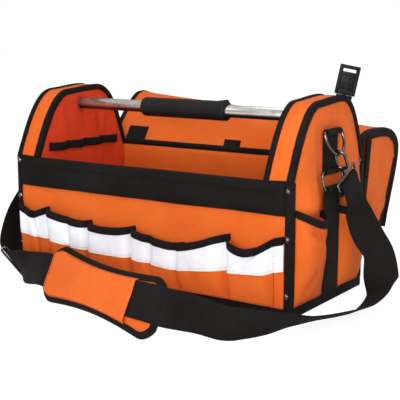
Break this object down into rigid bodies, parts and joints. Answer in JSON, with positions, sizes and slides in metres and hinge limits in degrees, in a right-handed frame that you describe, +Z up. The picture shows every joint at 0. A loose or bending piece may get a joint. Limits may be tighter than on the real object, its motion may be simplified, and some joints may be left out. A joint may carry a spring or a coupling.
{
  "type": "tool bag",
  "caption": "Open-top cloth tool bag with padded end panels, tube handle, pleated front pockets, reflective tape, a lid thrown back and a padded shoulder strap.",
  "frame": {"origin": "centre of the underside of the base", "axes": "+X along the handle to the end that carries the buckle, +Y to the back, where the lid is, +Z up"},
  "size_m": [0.6497, 0.5616, 0.3419],
  "materials": {
    "orange_cloth": "woven polyester, matt",
    "orange_lining": "woven polyester over board, matt",
    "black_webbing": "woven webbing and binding tape, matt",
    "reflective_tape": "retroreflective tape, satin",
    "tube_steel": "polished",
    "plated_metal": "plated wire, polished",
    "grip_foam": "matt foam rubber",
    "buckle_plastic": "moulded, matt"
  },
  "bodies": {
    "bag": {"back_wall": "orange_cloth", "back_wall_binding": "black_webbing", "base": "black_webbing", "buckle": "buckle_plastic", "buckle_tab": "black_webbing", "corner_strip_back_left": "black_webbing", "corner_strip_back_right": "black_webbing", "corner_strip_front_left": "black_webbing", "corner_strip_front_right": "black_webbing", "d_ring_left": "plated_metal", "d_ring_right": "plated_metal", "end_binding_inner_left": "black_webbing", "end_binding_inner_right": "black_webbing", "end_binding_outer_left": "black_webbing", "end_binding_outer_right": "black_webbing", "end_gusset_left": "orange_cloth", "end_gusset_right": "orange_cloth", "end_inner_left": "orange_lining", "end_inner_right": "orange_lining", "end_outer_left": "orange_cloth", "end_outer_right": "orange_cloth", "end_patch_left": "black_webbing", "end_patch_right": "black_webbing", "end_pocket_binding_left": "black_webbing", "end_pocket_binding_right": "black_webbing", "end_pocket_left": "orange_cloth", "end_pocket_right": "orange_cloth", "end_webbing_left": "black_webbing", "end_webbing_right": "black_webbing", "flap_binding_left": "black_webbing", "flap_binding_right": "black_webbing", "front_band": "black_webbing", "front_pocket_1": "orange_cloth", "front_pocket_2": "orange_cloth", "front_pocket_3": "orange_cloth", "front_pocket_4": "orange_cloth", "front_pocket_5": "orange_cloth", "front_pocket_6": "orange_cloth", "front_wall": "orange_cloth", "handle_grip": "grip_foam", "handle_tube": "tube_steel", "lid_binding": "black_webbing", "lid_flap_left": "orange_cloth", "lid_flap_right": "orange_cloth", "lid_panel": "orange_cloth", "pad_binding": "black_webbing", "pad_sleeve": "orange_cloth", "pocket_binding": "black_webbing", "reflective_tape": "reflective_tape", "shoulder_pad": "orange_cloth", "side_ring_left": "plated_metal", "side_ring_right": "plated_metal", "snap_hook_left": "plated_metal", "snap_hook_right": "plated_metal", "strap_left": "black_webbing", "strap_right": "black_webbing", "strap_slider": "plated_metal", "tool_loop_band": "black_webbing"},
    "gate_left": {"hook_gate_left": "plated_metal"},
    "gate_right": {"hook_gate_right": "plated_metal"}
  },
  "joints": [
    {"name": "hook_gate_left_hinge", "type": "hinge", "parent": "bag", "child": "gate_left", "pos_m": [-0.25983, -0.00868, 0.20014], "axis": [0.0237, -0.8932, 0.449], "range_deg": [0, 25], "stiffness_Nm_per_rad": 0.004},
    {"name": "hook_gate_right_hinge", "type": "hinge", "parent": "bag", "child": "gate_right", "pos_m": [0.25983, 0.00868, 0.20014], "axis": [-0.0237, 0.8932, 0.449], "range_deg": [0, 25], "stiffness_Nm_per_rad": 0.004}
  ]
}
